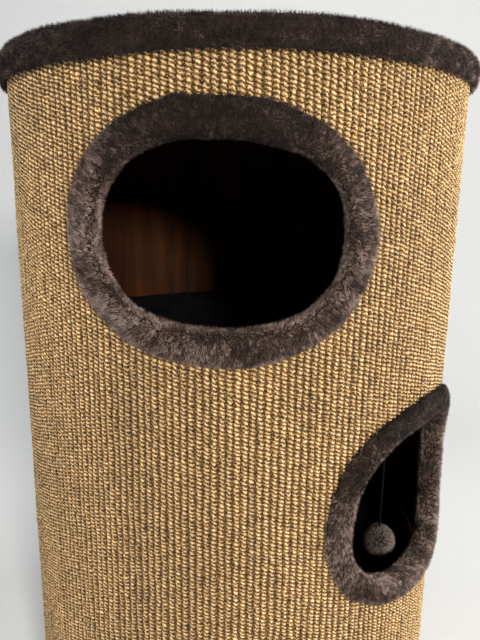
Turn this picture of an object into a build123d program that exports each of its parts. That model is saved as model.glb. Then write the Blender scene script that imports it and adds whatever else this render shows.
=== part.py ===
from build123d import *
from math import asin, cos, degrees, pi, sin
import os

# A sisal-covered cat barrel: three plush-floored caves stacked in a round tube.
# Millimetres. The base stands on z = 0, +Z is up and the front of the barrel faces -Y.
# Angles run round +Z from the front, positive towards +X.

# The tube and its covering
sisal_radius = 242.0
sisal_thickness = 5.7
wall_outer_radius = 236.0
wall_thickness = 6.0
gap = 0.3

# The storeys: every cave has the same floor, opening and pitch
storey_pitch = 258.0
opening_above_floor = 121.0
rim_above_upper_floor = 285.0
floor_thickness = 15.0
mat_thickness = 6.0
mat_radius = 225.0

# The base
foot_height = 8.0
foot_radius = 22.0
foot_circle_radius = 185.0
base_thickness = 18.0
base_radius = 250.0
plug_thickness = 12.0

# The plush covers round the rim and the base
rim_radius = 250.0
rim_height = 31.0
top_board_thickness = 18.0
top_board_radius = 243.0
rim_plush_thickness = 6.0
base_plush_thickness = 4.0
base_cover_radius = 257.0
base_cover_lip_radius = 215.0

# The openings: superellipses on the unrolled tube, given as half sizes
opening_half_width = 102.0
opening_half_height = 71.5
side_opening_half_height = 76.5
side_opening_drop = 4.5
opening_exponent = 2.35
trim_width = 33.0
side_trim_width = 32.0
trim_exponent = 2.2
trim_outer_radius = 250.5
trim_inner_radius = 226.0
trim_inner_lip = 22.0
trim_in_edge = 7.0
side_opening_angle = 54.0

# The two wall sheets meet at seams backed by inner strips
seam_angle = 126.0
seam_strip_width = 40.0
seam_strip_thickness = 3.0
seam_gap_angle = 0.1

# Fasteners
screw_radius = 2.0
screw_head_radius = 4.0
screw_head_height = 2.5
screw_clearance = 0.1
wall_screw_length = 31.0
plug_screw_length = 24.0
foot_screw_length = 20.0
plug_screw_circle_radius = 150.0
screws_per_circle = 6
first_wall_screw_angle = 30.0
foot_recess_radius = 5.0
foot_recess_depth = 2.0
staple_crown = 10.0
staple_leg = 6.0
staple_wire = 1.0
staple_from_edge = 6.0
staples_per_trim = 16
base_staples = 24
base_staple_from_edge = 7.0

# The plush ball that hangs in the middle cave
ball_radius = 19.0
ball_angle = 59.7
ball_distance = 194.8
ball_above_floor = 34.0
cord_radius = 1.2
eye_radius = 5.0
eye_wire = 1.1
link_radius = 6.0
link_wire = 1.0
loop_radius = 3.4
link_play = 0.3
eye_shank_length = 10.0
eye_shank_radius = 1.5
eye_hole_radius = 1.6
eye_collar_radius = 3.5
eye_collar_thickness = 1.5
eye_collar_overlap = 0.5
cord_in_ball = 2.0

# How finely an opening's outline is drawn, and how long its cutter is
outline_points = 40
cutter_length = 300.0

# Levels that follow from the sizes above
base_bottom = foot_height
base_top = base_bottom + base_thickness
lower_floor_level = base_top + plug_thickness + mat_thickness
middle_floor_level = lower_floor_level + storey_pitch
upper_floor_level = middle_floor_level + storey_pitch
height = upper_floor_level + rim_above_upper_floor
top_board_bottom = height - rim_plush_thickness - top_board_thickness
wall_inner_radius = wall_outer_radius - wall_thickness
disc_radius = wall_inner_radius - gap
side_opening_level = middle_floor_level + opening_above_floor - side_opening_drop

# Each opening's angle, level, half height and the width of the plush round it
openings = {
    "upper": (0.0, upper_floor_level + opening_above_floor, opening_half_height, trim_width),
    "side": (side_opening_angle, side_opening_level, side_opening_half_height, side_trim_width),
    "lower": (0.0, lower_floor_level + opening_above_floor, opening_half_height, trim_width),
}


def disc(radius, low, high):
    """A round board between two levels."""
    return Pos(0, 0, (low + high) / 2) * Cylinder(radius, high - low)


def ring(outer, inner, low, high):
    """A round tube between two levels."""
    return disc(outer, low, high) - disc(inner, low - 1, high + 1)


def sector(outer, inner, low, high, start, end):
    """Part of a tube, from one angle round +Z to another."""
    middle = Pos((outer + inner) / 2, (low + high) / 2)
    profile = Plane.XZ * middle * Rectangle(outer - inner, high - low)
    return Rot(0, 0, start - 90) * revolve(profile, Axis.Z, end - start)


def through_opening(angle, level, half_width, half_height, exponent):
    """A straight prism out through the wall, with a superellipse for its outline."""
    points = []
    for step in range(outline_points):
        turn = 2 * pi * step / outline_points
        across = half_width * abs(cos(turn)) ** (2 / exponent) * (1 if cos(turn) >= 0 else -1)
        up = half_height * abs(sin(turn)) ** (2 / exponent) * (1 if sin(turn) >= 0 else -1)
        points.append((sisal_radius * sin(across / sisal_radius), up))
    outline = make_face(Spline(*points, periodic=True))
    return Rot(0, 0, angle) * Pos(0, 0, level) * extrude(Plane.XZ * outline, cutter_length)


def opening_prism(name, margin, exponent=opening_exponent):
    """The prism of one named opening, larger all round by a margin."""
    angle, level, half_height = openings[name][:3]
    wide = opening_half_width + margin
    tall = half_height + margin
    return through_opening(angle, level, wide, tall, exponent)


def around(angle, radius, level):
    """A frame at a place round the barrel, with +X pointing outwards."""
    return Pos(0, 0, level) * Rot(0, 0, angle - 90) * Pos(radius, 0, 0)


def screw(length, radius=screw_radius, head=screw_head_radius):
    """A countersunk screw along -Z, with the top of its head at z = 0."""
    shank = Pos(0, 0, -length / 2) * Cylinder(radius, length)
    cone = Pos(0, 0, -screw_head_height / 2) * Cone(radius, head, screw_head_height)
    return shank + cone


def screw_hole(length):
    """The clearance hole for one screw."""
    radius = screw_radius + screw_clearance
    return screw(length + screw_clearance, radius, screw_head_radius + screw_clearance)


def radial_places(level):
    """Where the screws enter the wall at one level, pointing inwards."""
    places = []
    for index in range(screws_per_circle):
        angle = first_wall_screw_angle + index * 360 / screws_per_circle
        places.append(around(angle, wall_outer_radius, level) * Rot(0, 90, 0))
    return places


def upright_places(level, upwards):
    """Where the screws through a board and its plug stand, heads at one level."""
    places = []
    turn = Rot(180, 0, 0) if upwards else Rot(0, 0, 0)
    for index in range(screws_per_circle):
        angle = index * 360 / screws_per_circle
        places.append(around(angle, plug_screw_circle_radius, level) * turn)
    return places


def put(shape_maker, places):
    """Copies of one shape at each place."""
    return [place * shape_maker for place in places]


def cut(shape, tools):
    """A shape less every tool in a list."""
    for tool in tools:
        shape = shape - tool
    return shape


def save(name, shape):
    """One named node in its own file."""
    if isinstance(shape, list):
        shape = Compound(children=shape)
    export_step(shape, f"parts/{name}.step")


os.makedirs("parts", exist_ok=True)

# Fastener places
floor_levels = {"middle": middle_floor_level, "upper": upper_floor_level}
floor_screw_places = []
for level in floor_levels.values():
    floor_screw_places += radial_places(level - mat_thickness - floor_thickness / 2)
plug_screw_places = radial_places(base_top + plug_thickness / 2)
plug_screw_places += radial_places(top_board_bottom - plug_thickness / 2)
wall_screw_places = floor_screw_places + plug_screw_places
wall_screw_holes = put(screw_hole(wall_screw_length), wall_screw_places)
base_screw_places = upright_places(base_bottom, True)
top_screw_places = upright_places(top_board_bottom - plug_thickness, True)

foot_places = [Pos(0, 0, 0)]
for index in range(4):
    foot_places.append(around(45 + 90 * index, foot_circle_radius, 0))
foot_screw_places = [place * Pos(0, 0, foot_recess_depth) * Rot(180, 0, 0) for place in foot_places]
foot_screw_holes = put(screw_hole(foot_screw_length), foot_screw_places)

# Base: board, plug disc, plush cover, feet
base_board = disc(base_radius, base_bottom, base_top)
base_board = cut(base_board, put(screw_hole(plug_screw_length), base_screw_places))
save("base_board", cut(base_board, foot_screw_holes))

base_plug = disc(disc_radius, base_top, base_top + plug_thickness)
base_plug = cut(base_plug, put(screw_hole(plug_screw_length), base_screw_places))
save("base_plug", cut(base_plug, wall_screw_holes))

cover_low = base_bottom - base_plush_thickness
cover_high = base_top + base_plush_thickness
base_cover = disc(base_cover_radius, cover_low, cover_high)
base_cover = fillet(base_cover.edges().filter_by(GeomType.CIRCLE), 6)
base_cover -= disc(base_radius + gap, base_bottom - gap, base_top + gap)
base_cover -= disc(sisal_radius + gap, base_top, cover_high + 1)
base_cover -= disc(base_cover_lip_radius, cover_low - 1, base_bottom)
save("base_cover", base_cover)

foot_pad = Pos(0, 0, foot_height / 2) * Cylinder(foot_radius, foot_height)
foot_pad = chamfer(foot_pad.edges().group_by(Axis.Z)[0], 1.5)
foot_recesses = put(Cylinder(foot_recess_radius, 2 * foot_recess_depth), foot_places)
foot_pads = [cut(pad, foot_screw_holes + foot_recesses) for pad in put(foot_pad, foot_places)]
save("foot_pads", foot_pads)
save("foot_screws", put(screw(foot_screw_length), foot_screw_places))
save("base_screws", put(screw(plug_screw_length), base_screw_places))

# Tube: two sheets of plywood, butted at two seams, each seam backed by inner strips
wall_cuts = [opening_prism(name, trim_in_edge + gap) for name in openings]
front_wall = sector(wall_outer_radius, wall_inner_radius, base_top, top_board_bottom,
                    -seam_angle + seam_gap_angle, seam_angle - seam_gap_angle)
front_wall = cut(front_wall, wall_cuts)
save("front_wall", cut(front_wall, wall_screw_holes))
back_wall = sector(wall_outer_radius, wall_inner_radius, base_top, top_board_bottom,
                   seam_angle + seam_gap_angle, 360 - seam_angle - seam_gap_angle)
save("back_wall", cut(back_wall, wall_screw_holes))

strip_half_angle = seam_strip_width / wall_inner_radius / 2 * 180 / pi
strip_outer = wall_inner_radius - gap
strip_inner = strip_outer - seam_strip_thickness
cave_spans = [
    (base_top + plug_thickness, middle_floor_level - mat_thickness - floor_thickness),
    (middle_floor_level - mat_thickness, upper_floor_level - mat_thickness - floor_thickness),
    (upper_floor_level - mat_thickness, top_board_bottom - plug_thickness),
]
for side, angle in (("left", -seam_angle), ("right", seam_angle)):
    strips = []
    for low, high in cave_spans:
        strips.append(sector(strip_outer, strip_inner, low + gap, high - gap,
                             angle - strip_half_angle, angle + strip_half_angle))
    save(f"seam_strip_{side}", strips)

sisal_sleeve = ring(sisal_radius, sisal_radius - sisal_thickness, base_top + gap, top_board_bottom - gap)
save("sisal_sleeve", cut(sisal_sleeve, wall_cuts))

save("floor_screws", put(screw(wall_screw_length), floor_screw_places))
save("plug_screws", put(screw(wall_screw_length), plug_screw_places))

# Floors and mats
eye_place = around(ball_angle, ball_distance, upper_floor_level - mat_thickness - floor_thickness)
for name, level in floor_levels.items():
    board = disc(disc_radius, level - mat_thickness - floor_thickness, level - mat_thickness)
    board = cut(board, wall_screw_holes)
    if name == "upper":
        eye_hole = Cylinder(eye_hole_radius, eye_shank_length + 1)
        board -= eye_place * Pos(0, 0, eye_shank_length / 2) * eye_hole
    save(f"{name}_floor", board)
mat_levels = dict(floor_levels, lower=lower_floor_level)
for name, level in mat_levels.items():
    mat = disc(mat_radius, level - mat_thickness, level)
    save(f"{name}_mat", fillet(mat.edges().group_by(Axis.Z)[-1], 2.5))

# Rim: plug disc and board, covered in plush
top_plug = disc(disc_radius, top_board_bottom - plug_thickness, top_board_bottom)
top_plug = cut(top_plug, put(screw_hole(plug_screw_length), top_screw_places))
save("top_plug", cut(top_plug, wall_screw_holes))
top_board = disc(top_board_radius, top_board_bottom, height - rim_plush_thickness)
save("top_board", cut(top_board, put(screw_hole(plug_screw_length), top_screw_places)))
save("top_screws", put(screw(plug_screw_length), top_screw_places))
top_cover = disc(rim_radius, height - rim_height, height)
top_cover = fillet(top_cover.edges().group_by(Axis.Z)[0], 5)
top_cover = fillet(top_cover.edges().group_by(Axis.Z)[-1], 8)
top_cover -= disc(top_board_radius + gap, height - rim_height - 1, height - rim_plush_thickness)
save("top_cover", top_cover)

# Plush bindings: each wraps the cut edge of the wall, with a lip outside and one inside
lip_face = sisal_radius + gap
for name in openings:
    outer_prism = opening_prism(name, openings[name][-1], trim_exponent)
    outside = ring(trim_outer_radius, lip_face, 0, height) & outer_prism
    edge = ring(trim_outer_radius, trim_inner_radius, 0, height) & opening_prism(name, trim_in_edge)
    inside = ring(disc_radius, trim_inner_radius, 0, height) & opening_prism(name, trim_inner_lip)
    save(f"{name}_trim", (outside + edge + inside) - opening_prism(name, 0))


# Staples: the inner lips of the bindings and the lower edge of the base cover
def staple():
    """A wire staple whose crown lies along Y, with its legs pointing to +X."""
    crown = Box(staple_wire, staple_crown, staple_wire)
    leg = Box(staple_leg, staple_wire, staple_wire)
    shape = crown
    for side in (-1, 1):
        shape += Pos(staple_leg / 2, side * (staple_crown - staple_wire) / 2, 0) * leg
    return shape


trim_staples = []
for angle, level, half_height in [sizes[:3] for sizes in openings.values()]:
    across = opening_half_width + trim_inner_lip - staple_from_edge
    up = half_height + trim_inner_lip - staple_from_edge
    for index in range(staples_per_trim):
        turn = 2 * pi * (index + 0.5) / staples_per_trim
        sideways = sisal_radius * sin(across * cos(turn) / sisal_radius)
        turned = angle + degrees(asin(sideways / trim_inner_radius))
        place = around(turned, trim_inner_radius - staple_wire / 2, level + up * sin(turn))
        trim_staples.append(place * staple())
save("trim_staples", trim_staples)

cover_staples = []
for index in range(base_staples):
    turn = (index + 0.5) * 360 / base_staples
    place = around(turn, base_cover_lip_radius + base_staple_from_edge, cover_low)
    cover_staples.append(place * Pos(0, 0, -staple_wire / 2) * Rot(0, -90, 0) * staple())
save("cover_staples", cover_staples)

# Toy: a screw eye, a link and a plush ball on a cord
eye_centre = -eye_collar_thickness - eye_radius - eye_wire / 2
link_top = eye_centre - eye_radius + eye_wire + link_wire + link_play
link_centre = link_top - link_radius
loop_top = link_centre - link_radius + link_wire + cord_radius + link_play
loop_centre = loop_top - loop_radius
cord_start = loop_centre - loop_radius
ball_centre = middle_floor_level + ball_above_floor - eye_place.position.Z
cord_end = ball_centre + ball_radius - cord_in_ball

upright = Rot(90, 0, 0)
screw_eye = Pos(0, 0, eye_centre) * upright * Torus(eye_radius, eye_wire)
screw_eye += Pos(0, 0, -eye_collar_thickness / 2) * Cylinder(eye_collar_radius, eye_collar_thickness)
eye_shank = Cylinder(eye_shank_radius, eye_shank_length)
screw_eye += Pos(0, 0, eye_shank_length / 2 - eye_collar_overlap) * eye_shank
save("screw_eye", eye_place * screw_eye)

toy_link = Pos(0, 0, link_centre) * Rot(0, 0, 90) * upright * Torus(link_radius, link_wire)
save("toy_link", eye_place * toy_link)

toy_cord = Pos(0, 0, loop_centre) * upright * Torus(loop_radius, cord_radius)
toy_cord += Pos(0, 0, (cord_start + cord_end) / 2) * Cylinder(cord_radius, cord_start - cord_end)
save("toy_cord", eye_place * toy_cord)

save("plush_ball", eye_place * Pos(0, 0, ball_centre) * Sphere(ball_radius))
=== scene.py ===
# The looks of a sisal-covered cat barrel: woven sisal, plush pile, plywood and a toy ball
import math
import bpy
import numpy as np
from mathutils import Matrix, Vector


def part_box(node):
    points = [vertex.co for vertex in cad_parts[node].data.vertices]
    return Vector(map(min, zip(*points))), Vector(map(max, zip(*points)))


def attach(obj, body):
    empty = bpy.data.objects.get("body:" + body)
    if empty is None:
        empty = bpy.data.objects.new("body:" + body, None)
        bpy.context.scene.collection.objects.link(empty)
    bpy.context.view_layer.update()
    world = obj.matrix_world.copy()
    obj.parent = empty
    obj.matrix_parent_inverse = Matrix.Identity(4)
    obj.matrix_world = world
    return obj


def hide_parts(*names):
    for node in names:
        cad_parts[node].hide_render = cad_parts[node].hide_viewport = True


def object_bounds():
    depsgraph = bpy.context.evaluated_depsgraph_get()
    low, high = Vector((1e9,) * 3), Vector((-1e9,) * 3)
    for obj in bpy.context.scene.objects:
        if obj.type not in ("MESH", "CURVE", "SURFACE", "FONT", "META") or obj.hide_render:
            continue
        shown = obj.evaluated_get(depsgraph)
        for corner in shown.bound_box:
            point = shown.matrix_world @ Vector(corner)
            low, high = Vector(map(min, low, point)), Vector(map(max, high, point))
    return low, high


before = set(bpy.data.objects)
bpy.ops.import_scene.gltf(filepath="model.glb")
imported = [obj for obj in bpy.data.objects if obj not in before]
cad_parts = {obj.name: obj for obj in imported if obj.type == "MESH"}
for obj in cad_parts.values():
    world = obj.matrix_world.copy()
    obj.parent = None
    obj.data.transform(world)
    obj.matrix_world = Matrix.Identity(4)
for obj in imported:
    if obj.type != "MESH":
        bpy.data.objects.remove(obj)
cad_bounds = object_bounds()
mm = 0.001
full_turn = 2 * math.pi

# Sizes and places that the frame gives, in metres
height = cad_bounds[1].z
sisal_depth = 5.7 * mm
wall_thickness = 6 * mm
sisal_low, sisal_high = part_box("sisal_sleeve")
sisal_radius = sisal_high.x
sisal_inner_radius = sisal_radius - sisal_depth
wall_inner_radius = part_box("front_wall")[1].x - wall_thickness
rim_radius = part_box("top_cover")[1].x
rim_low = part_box("top_cover")[0].z
top_board_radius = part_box("top_board")[1].x
top_board_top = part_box("top_board")[1].z
base_board_low, base_board_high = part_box("base_board")
base_cover_low, base_cover_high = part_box("base_cover")
ball_low, ball_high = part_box("plush_ball")
ball_centre = (ball_low + ball_high) / 2
ball_radius = (ball_high.z - ball_low.z) / 2
cord_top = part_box("toy_cord")[1].z

# Openings: superellipses on the unrolled tube. Each has its angle, level, half height and trim width.
# The list gives angles in degrees and trim widths in millimetres
opening_half_width = 102 * mm
opening_exponent = 2.35
trim_exponent = 2.2
openings = {}
for opening_name, opening_angle, trim_width in (("upper", 0, 33), ("side", 54, 32), ("lower", 0, 33)):
    trim_low, trim_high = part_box(f"{opening_name}_trim")
    half_height = (trim_high.z - trim_low.z) / 2 - trim_width * mm
    level = (trim_low.z + trim_high.z) / 2
    openings[opening_name] = (math.radians(opening_angle), level, half_height, trim_width * mm)


# ---- camera

def make_camera():
    """The camera stands a little right of the front, level with the upper opening, and looks down."""
    angle = math.radians(3.0)
    distance = 698.2 * mm
    sideways = 4.7 * mm
    below_top = 126.5 * mm
    pitch = 0.2203
    roll = 0.0128
    outwards = Vector((math.sin(angle), -math.cos(angle), 0))
    right = Vector((math.cos(angle), math.sin(angle), 0))
    up = Vector((0, 0, 1))
    ahead = -outwards * math.cos(pitch) - up * math.sin(pitch)
    top = -outwards * math.sin(pitch) + up * math.cos(pitch)
    rolled_right = right * math.cos(roll) + top * math.sin(roll)
    rolled_top = top * math.cos(roll) - right * math.sin(roll)
    data = bpy.data.cameras.new("camera")
    data.sensor_width = 36
    data.lens = 33.19
    data.clip_start = 0.02
    camera = bpy.data.objects.new("camera", data)
    bpy.context.scene.collection.objects.link(camera)
    place = outwards * distance + right * sideways + up * (height - below_top)
    turn = Matrix((rolled_right, rolled_top, -ahead)).transposed().to_4x4()
    camera.matrix_world = Matrix.Translation(place) @ turn
    bpy.context.scene.camera = camera


make_camera()


# Fibres: how many grow on each piece, and lengths and widths from least to most, in millimetres
loose_sisal_count = 7000
binding_fibre_count = 76000
rim_fibre_count = 80000
top_fibre_count = 80000
base_fibre_count = 52000
mat_fibre_count = 24000
ball_fibre_count = 9000
plush_lengths, plush_widths = (2.6, 4.8), (0.28, 0.6)
top_lengths, top_widths = (2.4, 4.2), (0.5, 0.85)
base_lengths, base_widths = (2.6, 5.0), (0.35, 0.85)
mat_lengths, mat_widths = (2.5, 5.0), (0.6, 1.1)

# How far the plush's ground lies under its outermost pile, in metres
pile_depth = 2.4 * mm


# ---- helpers

def lattice_noise(u, v, rng, cells_u=64, cells_v=64):
    """Smooth noise from -1 to 1. u and v are in cells, and the pattern repeats after a lattice."""
    lattice = rng.uniform(-1, 1, (cells_u, cells_v))
    cell_u = np.floor(u).astype(int)
    cell_v = np.floor(v).astype(int)
    part_u = u - cell_u
    part_v = v - cell_v
    part_u = part_u * part_u * (3 - 2 * part_u)
    part_v = part_v * part_v * (3 - 2 * part_v)
    corners = [lattice[(cell_u + i) % cells_u, (cell_v + j) % cells_v] for i in (0, 1) for j in (0, 1)]
    near = corners[0] * (1 - part_v) + corners[1] * part_v
    far = corners[2] * (1 - part_v) + corners[3] * part_v
    return near * (1 - part_u) + far * part_u


def around(angle, radius, level):
    """Points round the barrel; angles are in radians from the front, positive towards +X."""
    angle, radius, level = np.broadcast_arrays(angle, radius, level)
    return np.stack([radius * np.sin(angle), -radius * np.cos(angle), level], axis=-1)


def faces_inwards(vertices, face_lists):
    """Whether a closed mesh's faces are wound inside out, from its signed volume."""
    volume = 0.0
    for faces in face_lists:
        for corner in range(1, faces.shape[1] - 1):
            a, b, c = (vertices[faces[:, k]] for k in (0, corner, corner + 1))
            volume += np.einsum("ij,ij->", a, np.cross(b, c))
    return volume < 0


def new_mesh(name, vertices, face_lists):
    """A smooth mesh from vertices and arrays of faces, one array for each number of sides."""
    if faces_inwards(vertices, face_lists):
        face_lists = [faces[:, ::-1] for faces in face_lists]
    mesh = bpy.data.meshes.new(name)
    loops = np.concatenate([faces.ravel() for faces in face_lists])
    sides = np.concatenate([np.full(len(faces), faces.shape[1]) for faces in face_lists])
    starts = np.concatenate([[0], np.cumsum(sides)[:-1]])
    mesh.vertices.add(len(vertices))
    mesh.vertices.foreach_set("co", vertices.astype(np.float32).ravel())
    mesh.loops.add(len(loops))
    mesh.loops.foreach_set("vertex_index", loops.astype(np.int32))
    mesh.polygons.add(len(sides))
    mesh.polygons.foreach_set("loop_start", starts.astype(np.int32))
    mesh.update(calc_edges=True)
    mesh.shade_smooth()
    return mesh


def new_piece(name, mesh, materials, body="root", replaces=()):
    """Puts a mesh in the scene as one piece on a CAD body."""
    piece = bpy.data.objects.new(name, mesh)
    bpy.context.scene.collection.objects.link(piece)
    for material in materials:
        mesh.materials.append(material)
    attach(piece, body)
    if replaces:
        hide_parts(*replaces)
    return piece


def unit(vectors):
    """Vectors of length 1."""
    return vectors / np.maximum(np.linalg.norm(vectors, axis=-1, keepdims=True), 1e-12)


def loop_through(points, count):
    """A closed smooth line through given points, as evenly spaced points."""
    steps_between = 40
    points = np.array(points, float)
    total = len(points)
    share = np.linspace(0, total, total * steps_between, endpoint=False)
    index = share.astype(int)
    t = (share - index)[:, None]
    a, b, c, d = [points[(index + step) % total] for step in (-1, 0, 1, 2)]
    square, cube = 2 * a - 5 * b + 4 * c - d, 3 * b - a - 3 * c + d
    line = 0.5 * (2 * b + (c - a) * t + square * t ** 2 + cube * t ** 3)
    return resample(np.vstack([line, line[:1]]), count + 1)[:-1]


def resample(line, count):
    """A line's points, evenly spaced."""
    steps = np.linalg.norm(np.diff(line, axis=0), axis=1)
    travelled = np.concatenate([[0], np.cumsum(steps)])
    wanted = np.linspace(0, travelled[-1], count)
    return np.stack([np.interp(wanted, travelled, line[:, k]) for k in range(line.shape[1])], axis=-1)


def straight(first, last, count):
    """Evenly spaced points from one (radius, level) to another."""
    return np.stack([np.linspace(a, b, count) for a, b in zip(first, last)], axis=-1)


def turns(rows):
    """The angles of rows that stand evenly round the barrel, as a column."""
    return full_turn * np.arange(rows)[:, None] / rows


def quads_between(i, j, next_i, next_j, columns):
    """Quads over the cells from row i to next_i and column j to next_j of a grid."""
    return np.stack([i * columns + j, next_i * columns + j, next_i * columns + next_j, i * columns + next_j],
                    axis=-1).reshape(-1, 4)


def ring_faces(rows, columns):
    """Quads of a grid that closes both ways."""
    i, j = np.meshgrid(np.arange(rows), np.arange(columns), indexing="ij")
    return quads_between(i, j, (i + 1) % rows, (j + 1) % columns, columns)


def lathe_faces(rows, columns):
    """Faces of a grid whose rows go round and whose columns run from one pole to another.
    The two poles are the last two vertices."""
    i, j = np.meshgrid(np.arange(rows), np.arange(columns - 1), indexing="ij")
    quads = quads_between(i, j, (i + 1) % rows, j + 1, columns)
    start = np.arange(rows) * columns
    after = np.roll(start, -1)
    end = columns - 1
    first = np.stack([np.full(rows, rows * columns), after, start], axis=-1)
    last = np.stack([np.full(rows, rows * columns + 1), start + end, after + end], axis=-1)
    return [quads, np.vstack([first, last])]


def ring_mesh(name, grid):
    """A mesh from a grid that closes both ways."""
    return new_mesh(name, grid.reshape(-1, 3), [ring_faces(*grid.shape[:2])])


def lathe_mesh(name, grid, poles):
    """A mesh from a grid that goes round and ends in two poles."""
    return new_mesh(name, np.vstack([grid.reshape(-1, 3), poles]), lathe_faces(*grid.shape[:2]))


def directions(grid, closes):
    """Unit vectors of a grid along its rows, along its columns, and out of the form it makes.
    A grid that doesn't close starts at its upper pole, where out is up."""
    along = unit(np.roll(grid, -1, axis=0) - np.roll(grid, 1, axis=0))
    if closes:
        across = unit(np.roll(grid, -1, axis=1) - np.roll(grid, 1, axis=1))
        faces = [ring_faces(*grid.shape[:2])]
        turned = faces_inwards(grid.reshape(-1, 3), faces)
        out = unit(np.cross(along, across))
    else:
        across = unit(np.gradient(grid, axis=1))
        out = unit(np.cross(along, across))
        turned = out[:, 2, 2].mean() < 0
    return along, across, out * (-1 if turned else 1)


def scatter(grid, closes, weight, count, rng):
    """Random places on a grid, by area times a weight for each cell corner.
    Returns points, the three directions there, and the grid coordinates."""
    rows, columns = grid.shape[:2]
    last = columns if closes else columns - 1
    i, j = np.meshgrid(np.arange(rows), np.arange(last), indexing="ij")
    i, j = i.ravel(), j.ravel()
    next_i, next_j = (i + 1) % rows, (j + 1) % columns
    side_a = grid[next_i, j] - grid[i, j]
    side_b = grid[i, next_j] - grid[i, j]
    area = np.linalg.norm(np.cross(side_a, side_b), axis=-1) * weight[i, j]
    chosen = rng.choice(len(area), count, p=area / area.sum())
    i, j, next_i, next_j = i[chosen], j[chosen], next_i[chosen], next_j[chosen]
    s, t = rng.random((2, count, 1))

    def mixed(values):
        """Values at the chosen places, mixed from the cell's four corners."""
        near = values[i, j] * (1 - s) + values[next_i, j] * s
        far = values[i, next_j] * (1 - s) + values[next_i, next_j] * s
        return near * (1 - t) + far * t

    along, across, out = directions(grid, closes)
    return mixed(grid), unit(mixed(along)), unit(mixed(across)), unit(mixed(out)), i + s[:, 0], j + t[:, 0]


def pile(name, roots, aims, lengths, widths, tones, materials, body="root"):
    """Plush fibres: closed three-sided spikes, each aimed its own way."""
    count = len(roots)
    aims = unit(aims)
    nearly_upright = np.abs(aims[:, 2:3]) > 0.8
    helper = np.where(nearly_upright, [[1.0, 0, 0]], [[0, 0, 1.0]])
    first = unit(np.cross(aims, helper))
    second = np.cross(aims, first)
    vertices = np.empty((count, 4, 3))
    for corner in range(3):
        turn = corner * full_turn / 3
        ring = first * math.cos(turn) + second * math.sin(turn)
        vertices[:, corner] = roots + ring * widths[:, None] / 2
    vertices[:, 3] = roots + aims * lengths[:, None]
    pattern = np.array([[0, 2, 1], [0, 1, 3], [1, 2, 3], [2, 0, 3]])
    faces = (np.arange(count)[:, None, None] * 4 + pattern).reshape(-1, 3)
    mesh = new_mesh(name, vertices.reshape(-1, 3), [faces])
    mesh.polygons.foreach_set("material_index", np.repeat(tones, 4).astype(np.int32))
    return new_piece(name, mesh, materials, body)


# ---- materials

class Shader:
    """A node material, built a node at a time."""

    def __init__(self, name):
        self.material = bpy.data.materials.new(name)
        self.material.use_nodes = True
        self.tree = self.material.node_tree
        self.surface = self.tree.nodes["Principled BSDF"]

    def node(self, kind, **settings):
        """A node with its settings."""
        node = self.tree.nodes.new("ShaderNode" + kind)
        for key, value in settings.items():
            setattr(node, key, value)
        return node

    def feed(self, socket, value):
        """Links or fills one input."""
        if isinstance(value, bpy.types.NodeSocket):
            self.tree.links.new(value, socket)
        else:
            socket.default_value = value

    def maths(self, operation, *values):
        """The result of one Math node."""
        node = self.node("Math", operation=operation)
        for socket, value in zip(node.inputs, values):
            self.feed(socket, value)
        return node.outputs[0]

    def ramp(self, factor, stops):
        """A colour ramp with stops of (place, colour)."""
        node = self.node("ValToRGB")
        self.feed(node.inputs[0], factor)
        while len(node.color_ramp.elements) < len(stops):
            node.color_ramp.elements.new(0.5)
        for element, (place, colour) in zip(node.color_ramp.elements, stops):
            element.position = place
            element.color = (*colour, 1)
        return node.outputs[0]

    def multiply(self, first, second):
        """Two colours multiplied. A Mix node's colour sockets come after those for numbers."""
        factor, first_colour, second_colour, colour_out = 0, 6, 7, 2
        node = self.node("Mix", data_type="RGBA", blend_type="MULTIPLY")
        self.feed(node.inputs[factor], 1.0)
        self.feed(node.inputs[first_colour], first)
        self.feed(node.inputs[second_colour], second)
        return node.outputs[colour_out]

    def noise(self, scale, detail=2.0, stretch=(1, 1, 1), roughness=0.5):
        """Noise over the piece's own space, stretched by a scale on each axis."""
        place = self.node("TexCoord").outputs["Object"]
        mapping = self.node("Mapping")
        self.feed(mapping.inputs["Vector"], place)
        self.feed(mapping.inputs["Scale"], stretch)
        node = self.node("TexNoise")
        self.feed(node.inputs["Vector"], mapping.outputs[0])
        self.feed(node.inputs["Scale"], scale)
        self.feed(node.inputs["Detail"], detail)
        self.feed(node.inputs["Roughness"], roughness)
        return node.outputs["Fac"]

    def bump(self, height_socket, distance, strength=1.0):
        """Bump on the surface's normal."""
        node = self.node("Bump")
        self.feed(node.inputs["Strength"], strength)
        self.feed(node.inputs["Distance"], distance)
        self.feed(node.inputs["Height"], height_socket)
        self.feed(self.surface.inputs["Normal"], node.outputs[0])

    def finish(self, colour, roughness, **constants):
        """Sets the colour, a socket or three numbers, the roughness, and plain values by input name."""
        value = colour if isinstance(colour, bpy.types.NodeSocket) else (*colour, 1)
        self.feed(self.surface.inputs["Base Color"], value)
        self.feed(self.surface.inputs["Roughness"], roughness)
        for key, value in constants.items():
            self.surface.inputs[key.replace("_", " ")].default_value = value
        return self.material


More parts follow.
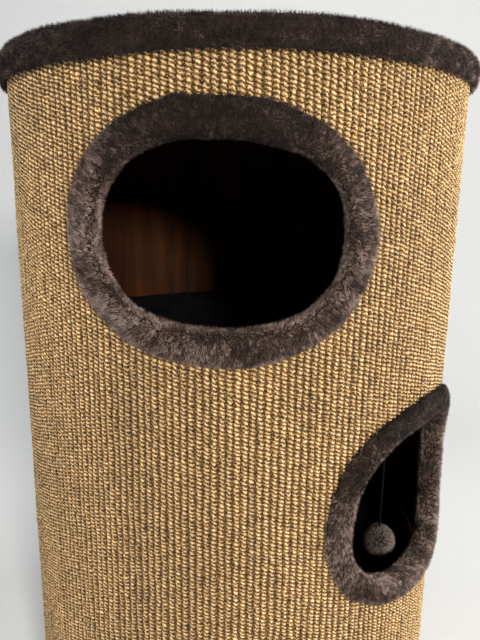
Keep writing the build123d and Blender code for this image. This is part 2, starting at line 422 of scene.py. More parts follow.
def sisal_material():
    """Twisted sisal stitches in upright ribs, with painted shade between them and crossed by thinner
    threads.
    """
    s = Shader("sisal")
    weave = s.node("UVMap", uv_map="weave").outputs[0]
    split = s.node("SeparateXYZ")
    s.feed(split.inputs[0], weave)
    waver = s.noise(330.0, 2.0, (1, 1, 1), 0.6)
    stray = s.noise(420.0, 2.0, (1, 1, 0.7), 0.6)
    rib_place = s.maths("MULTIPLY_ADD", s.maths("SUBTRACT", waver, 0.5), 0.75, split.outputs[0])
    stitch_place = s.maths("MULTIPLY_ADD", s.maths("SUBTRACT", stray, 0.5), 1.1, split.outputs[1])
    rib_number = s.maths("FLOOR", rib_place)
    across = s.maths("SUBTRACT", rib_place, rib_number)
    centred = s.maths("SUBTRACT", across, 0.5)
    odd = s.maths("MODULO", rib_number, 2.0)
    rib_random = s.node("TexWhiteNoise", noise_dimensions="1D")
    s.feed(rib_random.inputs["W"], rib_number)
    shifted = s.maths("ADD", stitch_place, s.maths("MULTIPLY", odd, 0.5))
    slanted = s.maths("ADD", shifted, s.maths("MULTIPLY", centred, 0.75))
    round_rib = s.maths("SINE", s.maths("MULTIPLY", across, math.pi))
    rib = s.maths("POWER", s.maths("MAXIMUM", round_rib, 0.0), 0.9)
    bead_wave = s.maths("COSINE", s.maths("MULTIPLY", slanted, full_turn))
    bead = s.maths("MULTIPLY_ADD", bead_wave, 0.5, 0.5)
    thread_slant = s.maths("SUBTRACT", stitch_place, s.maths("MULTIPLY", across, 0.5))
    thread_wave = s.maths("COSINE", s.maths("MULTIPLY", thread_slant, full_turn))
    thread = s.maths("POWER", s.maths("MAXIMUM", thread_wave, 0.0), 1.5)
    stitch = s.maths("MULTIPLY", rib, s.maths("MULTIPLY_ADD", s.maths("POWER", bead, 1.2), 0.74, 0.26))
    valley = s.maths("MULTIPLY", s.maths("MULTIPLY", thread, 0.62), s.maths("SUBTRACT", 1.0, rib))
    relief = s.maths("MAXIMUM", stitch, valley)
    fibres = s.noise(1100.0, 3.0, (1, 1, 1), 0.7)
    with_fibres = s.maths("MULTIPLY_ADD", s.maths("SUBTRACT", fibres, 0.5), 0.55, relief)
    # Colour from the relief: the near-black low end is painted shade in the crevices, the pale top end is
    # painted highlights on the stitches, and the tones between are the straw's own colour
    straw_with_painted_shade_and_highlights = s.ramp(with_fibres, [
        (0.0, (0.012, 0.006, 0.002)),
        (0.20, (0.060, 0.030, 0.009)),
        (0.42, (0.37, 0.205, 0.070)),
        (0.66, (0.74, 0.46, 0.19)),
        (1.0, (0.98, 0.76, 0.44)),
    ])
    cell = s.node("CombineXYZ")
    s.feed(cell.inputs[0], rib_number)
    s.feed(cell.inputs[1], s.maths("FLOOR", slanted))
    bead_random = s.node("TexWhiteNoise", noise_dimensions="2D")
    s.feed(bead_random.inputs["Vector"], cell.outputs[0])
    patches = s.noise(11.0, 4.0, (1, 1, 0.5))
    tone = s.maths("MULTIPLY_ADD", rib_random.outputs["Value"], 0.20, 0.48)
    tone = s.maths("MULTIPLY_ADD", bead_random.outputs["Value"], 0.30, tone)
    tone = s.maths("MULTIPLY_ADD", patches, 0.50, tone)
    grey = s.node("CombineColor")
    for socket in grey.inputs:
        s.feed(socket, tone)
    toned = s.multiply(straw_with_painted_shade_and_highlights, grey.outputs[0])
    s.bump(with_fibres, 2.0 * mm)
    return s.finish(toned, 0.6, Specular_IOR_Level=0.3)


def under_pile_material(name, dark, light, sheen=0.08):
    """The dense ground of a plush pile, with soft patches and fine fibres."""
    s = Shader(name)
    tufts = s.noise(260.0, 4.0, (1, 1, 0.6), 0.7)
    patches = s.noise(24.0, 3.0)
    mixed = s.maths("ADD", s.maths("MULTIPLY", tufts, 0.7), s.maths("MULTIPLY", patches, 0.4))
    colour = s.ramp(mixed, [(0.36, dark), (0.72, light)])
    s.bump(tufts, 1.4 * mm)
    return s.finish(colour, 0.85, Specular_IOR_Level=0.1, Sheen_Weight=sheen, Sheen_Roughness=0.4)


def fibre_materials(name, tones, specular=0.2, sheen=0.03):
    """A few plain tones for the fibres of one pile."""
    made = []
    for number, tone in enumerate(tones):
        s = Shader(f"{name}_{number}")
        made.append(s.finish(tone, 0.6, Specular_IOR_Level=specular, Sheen_Weight=sheen,
                             Sheen_Roughness=0.35))
    return made


def wood_material(name, dark, light, grain_scale, stretch, roughness):
    """Wood or fibreboard, with its grain stretched along one axis."""
    s = Shader(name)
    grain = s.noise(grain_scale, 6.0, stretch, 0.6)
    figure = s.noise(grain_scale * 0.18, 3.0, stretch)
    mixed = s.maths("ADD", s.maths("MULTIPLY", grain, 0.65), s.maths("MULTIPLY", figure, 0.4))
    middle = tuple((a + b) / 2 for a, b in zip(dark, light))
    colour = s.ramp(mixed, [(0.38, dark), (0.5, middle), (0.66, light)])
    s.bump(grain, 0.25 * mm, 0.6)
    return s.finish(colour, roughness, Specular_IOR_Level=0.08)


def metal_material(name, tone, roughness):
    """Plated or drawn steel, lightly scuffed."""
    s = Shader(name)
    scuffs = s.noise(800.0, 3.0, (1, 1, 0.2))
    uneven = s.maths("MULTIPLY_ADD", scuffs, 0.2, roughness - 0.1)
    colour = s.ramp(scuffs, [(0.3, tuple(0.8 * c for c in tone)), (0.7, tone)])
    return s.finish(colour, uneven, Metallic=1.0)


def plastic_material(name, tone):
    """Moulded matt plastic with a fine grain."""
    s = Shader(name)
    grain = s.noise(1500.0, 2.0)
    colour = s.ramp(grain, [(0.3, tuple(0.8 * c for c in tone)), (0.7, tuple(1.2 * c for c in tone))])
    s.bump(grain, 0.1 * mm, 0.5)
    return s.finish(colour, 0.55)


# Tones run from dark to light
plush_tones = [
    (0.008, 0.005, 0.004),
    (0.034, 0.021, 0.017),
    (0.098, 0.064, 0.053),
    (0.225, 0.156, 0.130),
    (0.430, 0.318, 0.272),
]
plush_ground = under_pile_material("plush_ground", (0.005, 0.003, 0.002), (0.030, 0.019, 0.015))
plush_fibres = fibre_materials("plush_fibre", plush_tones)
mat_tones = [(0.005, 0.005, 0.006), (0.009, 0.009, 0.011), (0.017, 0.017, 0.020)]
ball_tones = [(0.07, 0.052, 0.044), (0.13, 0.10, 0.085), (0.24, 0.19, 0.165)]
straw_tones = [(0.50, 0.34, 0.15), (0.68, 0.50, 0.27), (0.80, 0.66, 0.42)]
mat_ground = under_pile_material("mat_ground", (0.003, 0.003, 0.004), (0.008, 0.008, 0.010), sheen=0)
mat_fibres = fibre_materials("mat_fibre", mat_tones, specular=0.05, sheen=0)
ball_fibres = fibre_materials("ball_fibre", ball_tones)
straw_fibres = fibre_materials("straw_fibre", straw_tones)


# ---- sisal

def clear_of(opening, angle, level, margin, exponent):
    """Whether places on the tube lie outside one opening's outline widened by a margin."""
    centre_angle, centre_level, half_height = opening[:3]
    sideways = (angle - centre_angle + math.pi) % full_turn - math.pi
    wide = np.abs(sideways * sisal_radius / (opening_half_width + margin)) ** exponent
    tall = np.abs((level - centre_level) / (half_height + margin)) ** exponent
    return wide + tall > 1


def make_sisal():
    """The woven carpet: ribs of stitches on the tube, open under each plush binding.
    Columns go round the tube and rows go up it. Depths and heights are in millimetres."""
    rng = np.random.default_rng(11)
    ribs, stitches = 234, 216
    per_rib, per_stitch, per_block = 4, 2, 4
    columns, rows = ribs * per_rib, stitches * per_stitch + 1
    column, row = np.meshgrid(np.arange(columns), np.arange(rows), indexing="ij")
    rib_number, stitch_place = column // per_rib, row / per_stitch
    across = (column % per_rib) / per_rib
    rib = np.sin(math.pi * across)
    slant = 0.75 * (across - 0.5) + 0.5 * (rib_number % 2)
    bead = 0.5 + 0.5 * np.cos(full_turn * (stitch_place + slant))
    rib_height = rng.uniform(-0.3, 0.3, ribs)[rib_number]
    bead_height = lattice_noise(column / 3.1, row / 1.7, rng, 302, 97)
    lumps = lattice_noise(column / 36, row / 22, rng, 26, 64)
    rib_depth, stitch_depth = 2.6, 1.0
    depth = rib_depth * (1 - rib) + stitch_depth * (1 - bead) * rib
    radius = sisal_radius + (-depth + rib_height + 0.45 * bead_height + 0.35 * lumps) * mm
    wander = lattice_noise(rib_number, row / 14, rng, ribs, 97) * 0.5
    wander = wander + lattice_noise(rib_number, row / 2.0, rng, ribs, 217) * 0.35
    angle = full_turn * (column + wander * (across > 0)) / columns
    bottom, top = sisal_low.z, sisal_high.z
    rise = 0.35 * lattice_noise(column / 9.0, row / 5, rng, 104, 97)
    level = bottom + (top - bottom) * (row + rise) / (rows - 1)
    outer = around(angle, radius, level).reshape(-1, 3)

    blocks = (rows - 1) // per_block
    rib_i, block_j = np.meshgrid(np.arange(ribs), np.arange(blocks + 1), indexing="ij")
    corner_angle = full_turn * rib_i / ribs
    corner_level = bottom + (top - bottom) * block_j / blocks
    inner = around(corner_angle, sisal_inner_radius, corner_level).reshape(-1, 3)

    kept = np.ones((ribs, blocks), bool)
    middle_angle = full_turn * (np.arange(ribs)[:, None] + 0.5) / ribs
    middle_level = bottom + (top - bottom) * (np.arange(blocks)[None, :] + 0.5) / blocks
    under_binding = 12 * mm
    for opening in openings.values():
        kept &= clear_of(opening, middle_angle, middle_level, under_binding, opening_exponent)

    block_i, block_j = np.nonzero(kept)
    quads, corners = [], []
    for a in range(per_rib):
        for b in range(per_block):
            i, j = block_i * per_rib + a, block_j * per_block + b
            after = (i + 1) % columns
            quads.append(quads_between(i, j, after, j + 1, rows))
            corners.append(np.stack([i, j, i + 1, j, i + 1, j + 1, i, j + 1], axis=-1))
    quads = np.concatenate(quads)
    corners = np.concatenate(corners).reshape(-1, 2)

    inner_start = len(outer)
    stride = blocks + 1

    def inside(i, j):
        """The number of a vertex on the carpet's inner face."""
        return inner_start + (i % ribs) * stride + j

    backs = np.stack([inside(block_i, block_j), inside(block_i, block_j + 1),
                      inside(block_i + 1, block_j + 1), inside(block_i + 1, block_j)], axis=-1)
    padded_kept = np.pad(kept, ((0, 0), (1, 1)))
    left_open = kept & ~np.roll(kept, 1, axis=0)
    right_open = kept & ~np.roll(kept, -1, axis=0)
    low_open = kept & ~padded_kept[:, :-2]
    high_open = kept & ~padded_kept[:, 2:]

    def upwards(i, j):
        """The outer vertices from a block's corner up to the next block's."""
        return [i * per_rib % columns * rows + j * per_block + k for k in range(per_block + 1)]

    def onwards(i, j):
        """The outer vertices from a block's corner to the next rib's."""
        return [(i * per_rib + k) % columns * rows + j * per_block for k in range(per_rib + 1)]

    edges = []
    for i, j in np.argwhere(left_open):
        edges.append(upwards(i, j)[::-1] + [inside(i, j), inside(i, j + 1)])
    for i, j in np.argwhere(right_open):
        edges.append(upwards(i + 1, j) + [inside(i + 1, j + 1), inside(i + 1, j)])
    for i, j in np.argwhere(low_open):
        edges.append(onwards(i, j)[::-1] + [inside(i, j), inside(i + 1, j)])
    for i, j in np.argwhere(high_open):
        edges.append(onwards(i, j + 1) + [inside(i + 1, j + 1), inside(i, j + 1)])
    edges = np.array(edges)

    vertices = np.vstack([outer, inner])
    used = np.unique(np.concatenate([quads.ravel(), backs.ravel(), edges.ravel()]))
    renumbered = np.zeros(len(vertices), int)
    renumbered[used] = np.arange(len(used))
    mesh = new_mesh("sisal_weave", vertices[used], [renumbered[f] for f in (quads, backs, edges)])
    layer = mesh.uv_layers.new(name="weave")
    uv = np.zeros((len(mesh.loops), 2))
    uv[:len(corners)] = corners / (per_rib, per_stitch)
    layer.data.foreach_set("uv", uv.astype(np.float32).ravel())
    new_piece("sisal_weave", mesh, [sisal_material()], replaces=["sisal_sleeve"])

    rng = np.random.default_rng(12)
    fibre_angle = rng.uniform(0, full_turn, loose_sisal_count)
    fibre_level = rng.uniform(bottom, top, loose_sisal_count)
    clear = np.ones(loose_sisal_count, bool)
    for opening in openings.values():
        trim_width = opening[3]
        clear &= clear_of(opening, fibre_angle, fibre_level, trim_width - 9 * mm, trim_exponent)
    fibre_angle, fibre_level = fibre_angle[clear], fibre_level[clear]
    count = len(fibre_angle)
    roots = around(fibre_angle, sisal_radius - 1 * mm, fibre_level)
    outwards = around(fibre_angle, 1.0, 0.0)
    aims = outwards * rng.uniform(0.15, 0.9, (count, 1)) + rng.normal(0, 0.6, (count, 3)) * [1, 1, 1.4]
    into_the_weave = (aims * outwards).sum(1, keepdims=True) < 0.1
    aims = np.where(into_the_weave, aims + outwards * 0.6, aims)
    lengths = rng.uniform(2.5, 7, count) * mm
    widths = rng.uniform(0.12, 0.26, count) * mm
    tones = rng.integers(0, len(straw_fibres), count)
    pile("sisal_loose_fibres", roots, aims, lengths, widths, tones, straw_fibres)


make_sisal()


# ---- plush

def nearest_of(points, seeds, cell):
    """For each point the number of its nearest seed, searched for in cubes of a given size."""
    table = {}
    for number, key in enumerate(map(tuple, np.floor(seeds / cell).astype(int))):
        table.setdefault(key, []).append(number)
    keys = np.floor(points / cell).astype(int)
    order = np.lexsort(keys.T)
    found = np.zeros(len(points), int)
    start = 0
    sorted_keys = keys[order]
    ends = np.append(np.nonzero(np.any(np.diff(sorted_keys, axis=0), axis=1))[0] + 1, len(points))
    steps = [(i, j, k) for i in (-1, 0, 1) for j in (-1, 0, 1) for k in (-1, 0, 1)]
    for end in ends:
        some = order[start:end]
        key = sorted_keys[start]
        near = [n for step in steps for n in table.get(tuple(key + step), ())]
        if near:
            gaps = np.linalg.norm(points[some][:, None] - seeds[near][None], axis=-1)
            found[some] = np.array(near)[np.argmin(gaps, axis=1)]
        start = end
    return found


def tufts(roots, along, across, out, lay_along, lay_across, lift, length, clump, rng):
    """Aims for fibres whose tips draw together in tufts, and a number from -1 to 1 for each tuft.
    The tufts lean by lay_along and lay_across, and stand by lift."""
    count = len(roots)
    fibres_in_tuft, longest_reach, least_rise = 26, 2.2, 0.15
    seeds_wanted = max(8, int(count / fibres_in_tuft))
    seeds = rng.choice(count, seeds_wanted, replace=False)
    lean = along * lay_along + across * lay_across + out * lift
    lean = unit(lean + rng.normal(0, 0.22, (count, 3)))
    own = nearest_of(roots, roots[seeds], clump)
    tips = roots + lean * length[:, None]
    tuft_tips = roots[seeds][own] + lean[seeds][own] * length.mean()
    pull = rng.uniform(0.10, 0.50, (count, 1))
    aims = tips * (1 - pull) + tuft_tips * pull - roots
    too_far = np.linalg.norm(aims, axis=1) > longest_reach * length
    aims[too_far] = lean[too_far]
    inwards = (aims * out).sum(1) < least_rise * np.linalg.norm(aims, axis=1)
    aims[inwards] = lean[inwards]
    return aims, rng.uniform(-1, 1, seeds_wanted)[own]


def lumpy(grid, closes, rng, sizes):
    """A grid pushed in and out along its normals by noise of several sizes, (cell, height) in metres."""
    length_u = np.linalg.norm(np.diff(grid[:, grid.shape[1] // 4], axis=0), axis=1).sum()
    length_v = np.linalg.norm(np.diff(grid[0], axis=0), axis=1).sum()
    i, j = np.meshgrid(np.arange(grid.shape[0]), np.arange(grid.shape[1]), indexing="ij")
    out = directions(grid, closes)[2]
    raised = np.zeros(grid.shape[:2])
    for cell, size in sizes:
        cells_u = max(3, round(length_u / cell))
        cells_v = max(3, round(length_v / cell))
        u = i * cells_u / grid.shape[0]
        v = j * cells_v / grid.shape[1]
        raised += size * lattice_noise(u, v, rng, cells_u, cells_v)
    return grid + out * raised[..., None]


def grow_pile(name, places, lay, lengths, widths, shade, rng, materials=None, clump=4.2 * mm):
    """Tufted pile at scattered places. lay is (along, across, lift), and shade picks the fibres' tones."""
    roots, along, across, out = places[:4]
    count = len(roots)
    length = rng.uniform(*lengths, count) * mm
    width = rng.uniform(*widths, count) * mm
    aims, tuft_tone = tufts(roots, along, across, out, *lay, length, clump, rng)
    materials = materials or plush_fibres
    tones = np.round(shade + tuft_tone + rng.normal(0, 0.65, count))
    tones = np.clip(tones, 0, len(materials) - 1).astype(int)
    root_depth_mm = 0.4
    return pile(name, roots - out * root_depth_mm * mm, aims, length, width, tones, materials)


def faded(grid, lumped, section, reach, end):
    """A round grid's lumps, which start 20 mm from the middle and fade in over a reach.
    Columns from the given end on stay smooth."""
    fade = np.clip((section[:, 0] - 0.02) / reach, 0, 1)
    fade[end:] = 0
    return grid + (lumped - grid) * fade[None, :, None]


def trim_profile(width, count):
    """A binding's section, as margin from the opening's edge and radius round the barrel."""
    r = sisal_radius
    wall = wall_inner_radius
    section = [
        (width - 2.0 * mm, r + 0.6 * mm), (width - 2.4 * mm, r + 2.8 * mm), (width - 5.5 * mm, r + 5.0 * mm),
        (width * 0.62, r + 6.4 * mm), (width * 0.38, r + 6.4 * mm), (8.0 * mm, r + 5.0 * mm),
        (4.8 * mm, r + 1.6 * mm), (4.0 * mm, r - 4.0 * mm), (4.2 * mm, wall + 1.5 * mm),
        (6.2 * mm, wall - 1.6 * mm), (12.0 * mm, wall - 2.7 * mm), (20.0 * mm, wall - 2.4 * mm),
        (21.8 * mm, wall - 0.9 * mm), (14.0 * mm, wall - 0.5 * mm), (8.0 * mm, wall + 0.2 * mm),
        (7.4 * mm, r - 3.0 * mm), (8.6 * mm, r + 0.5 * mm), (width * 0.6, r + 0.4 * mm),
    ]
    return loop_through(section, count)


def make_trim(name, seed, raised):
    """A plush binding round one opening, outside, through and inside the wall.
    Its outer edge below the opening is raised by some metres."""
    rng = np.random.default_rng(seed)
    centre_angle, centre_level, half_height, trim_width = openings[name]
    rows, columns = 560, 84
    section = trim_profile(trim_width, columns)
    turn = turns(rows)
    row = np.arange(rows)[:, None]
    join_angle, join_spread = math.radians(100), math.radians(7)
    join = np.exp(-((turn - join_angle) / join_spread) ** 2)
    uneven = lattice_noise(row * 13 / rows, 0 * row, rng, 13, 3)
    uneven = uneven + 1.4 * join * lattice_noise(row * 110 / rows, 0 * row, rng, 110, 3)
    outer_share = np.clip((section[None, :, 0] - 10 * mm) / (trim_width - 10 * mm), 0, 1)
    outer_share = outer_share * (section[None, :, 1] > sisal_radius)
    below = np.maximum(0, -np.sin(turn)) ** 2
    margin = section[None, :, 0] + outer_share * ((uneven - 0.4) * 2.2 * mm - raised * below)
    radius = section[None, :, 1]
    exponent = opening_exponent + (trim_exponent - opening_exponent) * margin / trim_width
    width, tall = opening_half_width + margin, half_height + margin
    sideways = width * np.sign(np.cos(turn)) * np.abs(np.cos(turn)) ** (2 / exponent)
    up = tall * np.sign(np.sin(turn)) * np.abs(np.sin(turn)) ** (2 / exponent)
    local_x = sisal_radius * np.sin(sideways / sisal_radius)
    local_y = np.sqrt(radius ** 2 - local_x ** 2)
    angle = centre_angle + np.arctan2(local_x, local_y)
    grid = around(angle, radius + 0 * angle, centre_level + up)
    grid = lumpy(grid, True, rng, [(42 * mm, 0.9 * mm), (14 * mm, 0.6 * mm), (4 * mm, 0.3 * mm)])
    mesh = ring_mesh(f"{name}_binding", grid)
    piece = new_piece(f"{name}_binding", mesh, [plush_ground], replaces=[f"{name}_trim"])

    shown = (section[:, 1] > sisal_radius + 0.8 * mm) | (section[:, 0] < 6.5 * mm)
    inside = section[:, 1] < wall_inner_radius - 1.2 * mm
    weight = np.broadcast_to(shown * 1.0 + inside * 1.2, (rows, columns))
    places = scatter(grid, True, weight, binding_fibre_count, rng)
    u, v = places[4], places[5]
    swirl = lattice_noise(u / 40, v / 30, rng, 14, 7)[:, None]
    sweep = lattice_noise(u / 22, v / 20, rng, 25, 7)[:, None]
    # Fibres on the top of the binding get darker tones as painted shade, and those on its left get slightly
    # lighter tones as painted light
    above = np.maximum(0, np.sin(full_turn * u / rows)) ** 2
    painted_light_left = np.maximum(0, -np.cos(full_turn * u / rows)) ** 2
    shade = 2.5 + lattice_noise(u / 16, v / 12, rng, 35, 7) - 2.6 * above + 0.1 * painted_light_left
    lay = (0.5 * swirl, -0.5 + 0.4 * sweep, 0.75)
    grow_pile(f"{name}_binding_pile", places, lay, plush_lengths, plush_widths, shade, rng)


for trim_name, trim_seed, trim_raised in (("upper", 21, 0), ("side", 22, 2.8 * mm), ("lower", 23, 0)):
    make_trim(trim_name, trim_seed, trim_raised)


def make_rim():
    """The plush over the top board: a flat top and a soft band down over the rim.
    Its section runs from the middle of the top, down the rim, and back under the board."""
    rng = np.random.default_rng(31)
    rows = 900
    edge = rim_radius - pile_depth
    top = height - 4.2 * mm
    inner = top_board_radius + 0.4 * mm
    under = top_board_top + 0.2 * mm
    corner = 9 * mm
    flat = straight((4 * mm, top), (edge - corner, top), 90)
    bend = np.linspace(0, math.pi / 2, 11)[1:]
    shoulder = (edge - corner, top - corner) + corner * np.stack([np.sin(bend), np.cos(bend)], axis=-1)
    low = rim_low + pile_depth
    side = straight((edge, top - corner), (edge, low + 3 * mm), 13)[1:]
    tuck = [(edge - 0.8 * mm, low + 0.8 * mm), (edge - 2.2 * mm, low)]
    hidden = [(inner + 0.6 * mm, low + 0.6 * mm), (inner, low + 3 * mm)]
    back = straight((inner, low + 6 * mm), (inner, under - 0.6 * mm), 5)
    ceiling = straight((inner - 1 * mm, under), (4 * mm, under), 24)
    section = np.vstack([flat, shoulder, side, tuck, hidden, back, ceiling])
    columns = len(section)
    top_columns = len(flat) - 10
    outer_columns = len(flat) + len(shoulder) + len(side) + len(tuck)
    turn = turns(rows)
    low_share = np.clip((top - corner - section[None, :, 1]) / (top - corner - low), 0, 1)
    low_share[:, outer_columns:] = 0
    drop = (2.6 * np.sin(turn) - 1.0 + 0.7 * lattice_noise(turn * 14 / full_turn, 0 * turn, rng, 14, 3)) * mm
    grid = around(turn, section[None, :, 0], section[None, :, 1] + drop * low_share)
    lumped = lumpy(grid, False, rng, [(60 * mm, 1.1 * mm), (22 * mm, 0.8 * mm), (5 * mm, 0.35 * mm)])
    grid = faded(grid, lumped, section, 0.05, outer_columns)
    mesh = lathe_mesh("rim_cover", grid, [(0, 0, top), (0, 0, under)])
    piece = new_piece("rim_cover", mesh, [plush_ground], replaces=["top_cover"])

    side_weight = np.zeros((rows, columns))
    side_weight[:, top_columns:outer_columns] = 1
    places = scatter(grid, False, side_weight, rim_fibre_count, rng)
    u, v = places[4], places[5]
    swirl = lattice_noise(u / 14, v / 9, rng, 64, 14)[:, None]
    sweep = lattice_noise(u / 8, v / 6, rng, 112, 20)[:, None]
    # Fibres on the right of the band get lighter tones: painted light on the side the lights come from
    painted_light_right = np.sin(full_turn * u / rows)
    shade = 0.45 + 1.1 * lattice_noise(u / 9, v / 7, rng, 100, 16) + np.maximum(0, painted_light_right) ** 2
    lay = (0.5 * swirl, 0.3 + 0.4 * sweep, 0.75)
    grow_pile("rim_pile", places, lay, plush_lengths, plush_widths, shade, rng)

    top_weight = np.zeros((rows, columns))
    top_weight[:, :top_columns] = 1
    places = scatter(grid, False, top_weight, top_fibre_count, rng)
    wave_u, wave_v = places[0][:, 0] / (30 * mm), places[0][:, 1] / (30 * mm)
    turned = lattice_noise(wave_u, wave_v, rng)[:, None] * 1.3 + 0.6
    shade = 1.0 + 0.8 * lattice_noise(wave_u * 1.6, wave_v * 1.6, rng)
    lay = (np.cos(turned), np.sin(turned), 0.9)
    grow_pile("top_pile", places, lay, top_lengths, top_widths, shade, rng, clump=6 * mm)


make_rim()


def make_base_cover():
    """The plush wrapped round the edge of the base."""
    rng = np.random.default_rng(41)
    rows, columns = 900, 44
    edge = base_cover_high.x - pile_depth
    low, high = base_cover_low.z + 0.6 * mm, base_cover_high.z - 2.2 * mm
    board = base_board_high.x
    board_low, board_high = base_board_low.z, base_board_high.z
    section = loop_through([
        (sisal_radius + 1.4 * mm, high - 0.6 * mm), (sisal_radius + 5 * mm, high),
        (edge - 6 * mm, high - 0.6 * mm), (edge - 1.6 * mm, high - 3.4 * mm),
        (edge, high - 9 * mm), (edge, low + 7 * mm), (edge - 2.6 * mm, low + 2 * mm),
        (edge - 8 * mm, low), (edge - 22 * mm, low), (216 * mm, low + 0.4 * mm),
        (215.6 * mm, low + 1.8 * mm), (222 * mm, board_low - 0.5 * mm),
        (board, board_low - 0.6 * mm), (board + 0.8 * mm, board_low + 4 * mm),
        (board + 0.8 * mm, board_high - 2 * mm), (board - 1 * mm, board_high + 0.5 * mm),
        (sisal_radius + 3 * mm, board_high + 0.4 * mm), (sisal_radius + 1.0 * mm, board_high + 1.0 * mm),
    ], columns)
    grid = around(turns(rows), section[None, :, 0], section[None, :, 1])
    shown = (section[:, 0] > board + 1.5 * mm) | (section[:, 1] > board_high + 1.2 * mm)
    lumped = lumpy(grid, True, rng, [(60 * mm, 0.9 * mm), (20 * mm, 0.5 * mm), (5 * mm, 0.3 * mm)])
    grid = np.where(shown[None, :, None], lumped, grid)
    mesh = ring_mesh("base_wrap", grid)
    piece = new_piece("base_wrap", mesh, [plush_ground], replaces=["base_cover"])
    places = scatter(grid, True, np.broadcast_to(shown * 1.0, (rows, columns)), base_fibre_count, rng)
    u, v = places[4], places[5]
    swirl = lattice_noise(u / 14, v / 5, rng, 64, 9)[:, None]
    shade = 1.9 + 0.8 * lattice_noise(u / 9, v / 4, rng, 100, 11)
    grow_pile("base_wrap_pile", places, (0.7 * swirl, 0.3, 0.75), base_lengths, base_widths, shade, rng)


make_base_cover()


def make_mat(name, seed):
    """A plush mat on one cave floor, with a rounded edge and a flattened pile."""
    rng = np.random.default_rng(seed)
    low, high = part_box(f"{name}_mat")
    radius, bottom, top = high.x, low.z, high.z - 1.2 * mm
    rows = 360
    flat = straight((4 * mm, top), (radius - 3 * mm, top), 70)
    edge = [(radius - 1.2 * mm, top - 0.6 * mm), (radius - 0.4 * mm, top - 2 * mm),
            (radius - 0.6 * mm, bottom + 0.4 * mm), (radius - 2 * mm, bottom)]
    under = straight((radius - 6 * mm, bottom), (4 * mm, bottom), 12)
    section = np.vstack([flat, edge, under])
    grid = around(turns(rows), section[None, :, 0], section[None, :, 1])
    lumped = lumpy(grid, False, rng, [(40 * mm, 0.5 * mm), (12 * mm, 0.4 * mm)])
    grid = faded(grid, lumped, section, 0.04, len(flat))
    mesh = lathe_mesh(f"{name}_floor_mat", grid, [(0, 0, top), (0, 0, bottom)])
    piece = new_piece(f"{name}_floor_mat", mesh, [mat_ground], replaces=[f"{name}_mat"])
    weight = np.zeros((rows, len(section)))
    weight[:, :len(flat)] = 1
    places = scatter(grid, False, weight, mat_fibre_count, rng)
    wave_u, wave_v = places[0][:, 0] / (35 * mm), places[0][:, 1] / (35 * mm)
    turned = lattice_noise(wave_u, wave_v, rng)[:, None] * 1.5
    lay = (np.sin(turned), -np.cos(turned), 0.6)
    grow_pile(f"{name}_mat_pile", places, lay, mat_lengths, mat_widths, 1.0, rng,
              mat_fibres, clump=9 * mm)


for order, mat_name in enumerate(("upper", "middle", "lower")):
    make_mat(mat_name, 51 + order)


# ---- toy

def make_toy():
    """The plush ball: a shaped core with tufted fibres. Returns both pieces."""
    rng = np.random.default_rng(61)
    rows, columns = 64, 30
    tilt = np.linspace(0, math.pi, columns + 2)[1:-1]
    core = ball_radius - 5 * mm
    grid = around(turns(rows), core * np.sin(tilt)[None, :], core * np.cos(tilt)[None, :])
    grid = lumpy(grid + np.array(ball_centre), False, rng, [(9 * mm, 0.8 * mm)])
    poles = [ball_centre + Vector((0, 0, core)), ball_centre - Vector((0, 0, core))]
    mesh = lathe_mesh("toy_ball", grid, poles)
    ball = new_piece("toy_ball", mesh, [plush_ground], "toy", ["plush_ball"])
    count = ball_fibre_count
    out = unit(rng.normal(0, 1, (count, 3)))
    roots = np.array(ball_centre) + out * (core - 0.5 * mm)
    tuft_count, draw_together = 260, 1.6
    tuft_aims = unit(rng.normal(0, 1, (tuft_count, 3)))
    nearest = tuft_aims[np.argmax(out @ tuft_aims.T, axis=1)]
    aims = out + (nearest - out) * draw_together + rng.normal(0, 0.16, (count, 3))
    lengths = rng.uniform(4.0, 6.0, count) * mm
    widths = rng.uniform(0.35, 0.7, count) * mm
    tones = rng.integers(0, len(ball_fibres), count)
    fibres = pile("toy_ball_pile", roots, aims, lengths, widths, tones, ball_fibres, "toy")
    return [ball, fibres]


def make_toy_cord(ball_pieces):
    """The cord that the ball hangs on: one straight run from a loop round the link above it."""
    cord_radius = 1.2 * mm
    loop_radius = 3.4 * mm
    exit_point = Vector((ball_centre.x, ball_centre.y, cord_top - cord_radius - 2 * loop_radius))
    end_point = ball_centre + Vector((0, 0, ball_radius - 2 * mm))
    curve = bpy.data.curves.new("toy_hanging_cord", "CURVE")
    curve.dimensions = "3D"
    spline = curve.splines.new("NURBS")
    spline.points.add(2)
    for point, place in zip(spline.points, (exit_point, (exit_point + end_point) / 2, end_point)):
        point.co = (*place, 1)
    spline.order_u = 3
    spline.use_endpoint_u = True
    curve.bevel_depth = cord_radius
    curve.bevel_resolution = 3
    curve.use_fill_caps = True
    s = Shader("toy_cord_braid")
    braid = s.noise(700.0, 3.0, (1, 1, 0.35), 0.6)
    s.bump(braid, 0.3 * mm)
    colour = s.ramp(braid, [(0.35, (0.002, 0.0015, 0.0015)), (0.7, (0.006, 0.005, 0.004))])
    cord_material = s.finish(colour, 0.9, Specular_IOR_Level=0.05)
    curve.materials.append(cord_material)
    cord = bpy.data.objects.new("toy_hanging_cord", curve)
    bpy.context.scene.collection.objects.link(cord)
    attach(cord, "toy")
    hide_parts("toy_cord")

    turn, bend = turns(48)[:, None], turns(12)[None]
    outwards = unit(np.array((ball_centre.x, ball_centre.y, 0.0)))
    across = np.array((-outwards[1], outwards[0], 0.0))
    spoke = np.cos(turn) * outwards + np.sin(turn) * np.array((0.0, 0.0, 1.0))
    centre = np.array(exit_point) + np.array((0.0, 0.0, loop_radius))
    grid = centre + spoke * (loop_radius + cord_radius * np.cos(bend)) + across * cord_radius * np.sin(bend)
    new_piece("toy_cord_loop", ring_mesh("toy_cord_loop", grid), [cord_material], "toy")


make_toy_cord(make_toy())


# ---- CAD parts that show as they are

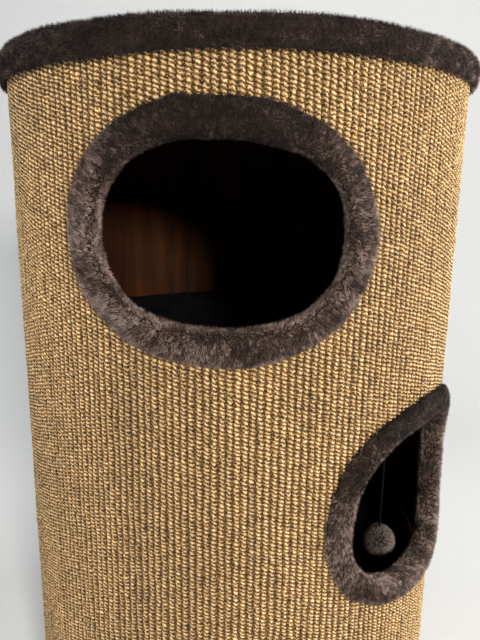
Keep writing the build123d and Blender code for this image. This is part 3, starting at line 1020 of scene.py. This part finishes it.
upright_grain, even_grain = (1, 1, 0.10), (1, 1, 1)
plywood = wood_material("plywood", (0.012, 0.0038, 0.0012), (0.058, 0.0195, 0.0062), 42.0,
                        upright_grain, 0.75)
strip_wood = wood_material("strip_wood", (0.012, 0.0035, 0.0012), (0.040, 0.012, 0.0045), 42.0,
                           upright_grain, 0.75)
fibreboard = wood_material("fibreboard", (0.30, 0.20, 0.12), (0.46, 0.33, 0.21), 160.0, even_grain, 0.8)
zinc_steel = metal_material("zinc_steel", (0.62, 0.62, 0.60), 0.35)
staple_steel = metal_material("staple_steel", (0.10, 0.10, 0.10), 0.6)
foot_plastic = plastic_material("foot_plastic", (0.02, 0.02, 0.021))
nodes_by_material = (
    (plywood, ("front_wall", "back_wall")),
    (strip_wood, ("seam_strip_left", "seam_strip_right")),
    (fibreboard, ("base_board", "base_plug", "middle_floor", "upper_floor", "top_plug", "top_board")),
    (zinc_steel, ("base_screws", "floor_screws", "foot_screws", "plug_screws", "top_screws", "screw_eye",
                  "toy_link")),
    (staple_steel, ("cover_staples", "trim_staples")),
    (foot_plastic, ("foot_pads",)),
)
for node_material, node_names in nodes_by_material:
    for node_name in node_names:
        for material_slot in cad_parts[node_name].material_slots:
            material_slot.link = "OBJECT"
            material_slot.material = node_material


# ---- floor and light

def make_floor():
    """A pale floor that curves up into a pale backdrop."""
    front, bend_start, bend_radius, backdrop_top, half_width = -3.0, 1.0, 1.5, 4.5, 5.0
    curve = [(bend_start + bend_radius * math.sin(turn), bend_radius - bend_radius * math.cos(turn))
             for turn in np.linspace(0, math.pi / 2, 24)]
    line = [(front, 0.0)] + curve + [(bend_start + bend_radius, backdrop_top)]
    vertices = np.array([(x, y, z) for x in (-half_width, half_width) for y, z in line])
    count = len(line)
    faces = np.array([[k, k + 1, count + k + 1, count + k] for k in range(count - 1)])
    mesh = bpy.data.meshes.new("floor")
    mesh.from_pydata(vertices.tolist(), [], faces.tolist())
    mesh.shade_smooth()
    floor = bpy.data.objects.new("floor", mesh)
    bpy.context.scene.collection.objects.link(floor)
    s = Shader("pale_floor")
    mesh.materials.append(s.finish((0.90, 0.92, 0.93), 0.8, Specular_IOR_Level=0.1))


def make_area_light(name, azimuth, elevation, distance, aim_height, size, power, colour):
    """A soft square light round the barrel, pointed at a height on its axis. Angles are in degrees from
    the front, lengths in metres and power in watts."""
    data = bpy.data.lights.new(name, "AREA")
    data.shape = "SQUARE"
    data.size = size
    data.energy = power
    data.color = colour
    light = bpy.data.objects.new(name, data)
    bpy.context.scene.collection.objects.link(light)
    turn, tilt = math.radians(azimuth), math.radians(elevation)
    away = Vector((math.sin(turn) * math.cos(tilt), -math.cos(turn) * math.cos(tilt), math.sin(tilt)))
    light.location = Vector((0, 0, aim_height)) + away * distance
    light.rotation_euler = away.to_track_quat("Z", "Y").to_euler()


def make_lights():
    """A main light a little right of the camera, wide lights from both sides, and a pale room."""
    make_area_light("main_light", azimuth=22, elevation=12.0, distance=3.0, aim_height=0.66,
                    size=0.36, power=83, colour=(1.0, 0.95, 0.88))
    make_area_light("right_light", azimuth=80, elevation=18, distance=2.4, aim_height=0.5,
                    size=1.1, power=40, colour=(1.0, 0.96, 0.91))
    make_area_light("left_light", azimuth=-74, elevation=14, distance=2.4, aim_height=0.5,
                    size=1.3, power=20, colour=(1.0, 0.97, 0.95))
    world = bpy.data.worlds.new("room")
    world.use_nodes = True
    background = world.node_tree.nodes["Background"]
    background.inputs["Color"].default_value = (0.86, 0.91, 0.95, 1)
    background.inputs["Strength"].default_value = 0.24
    bpy.context.scene.world = world
    bpy.context.scene.view_settings.view_transform = "Standard"


make_floor()
make_lights()
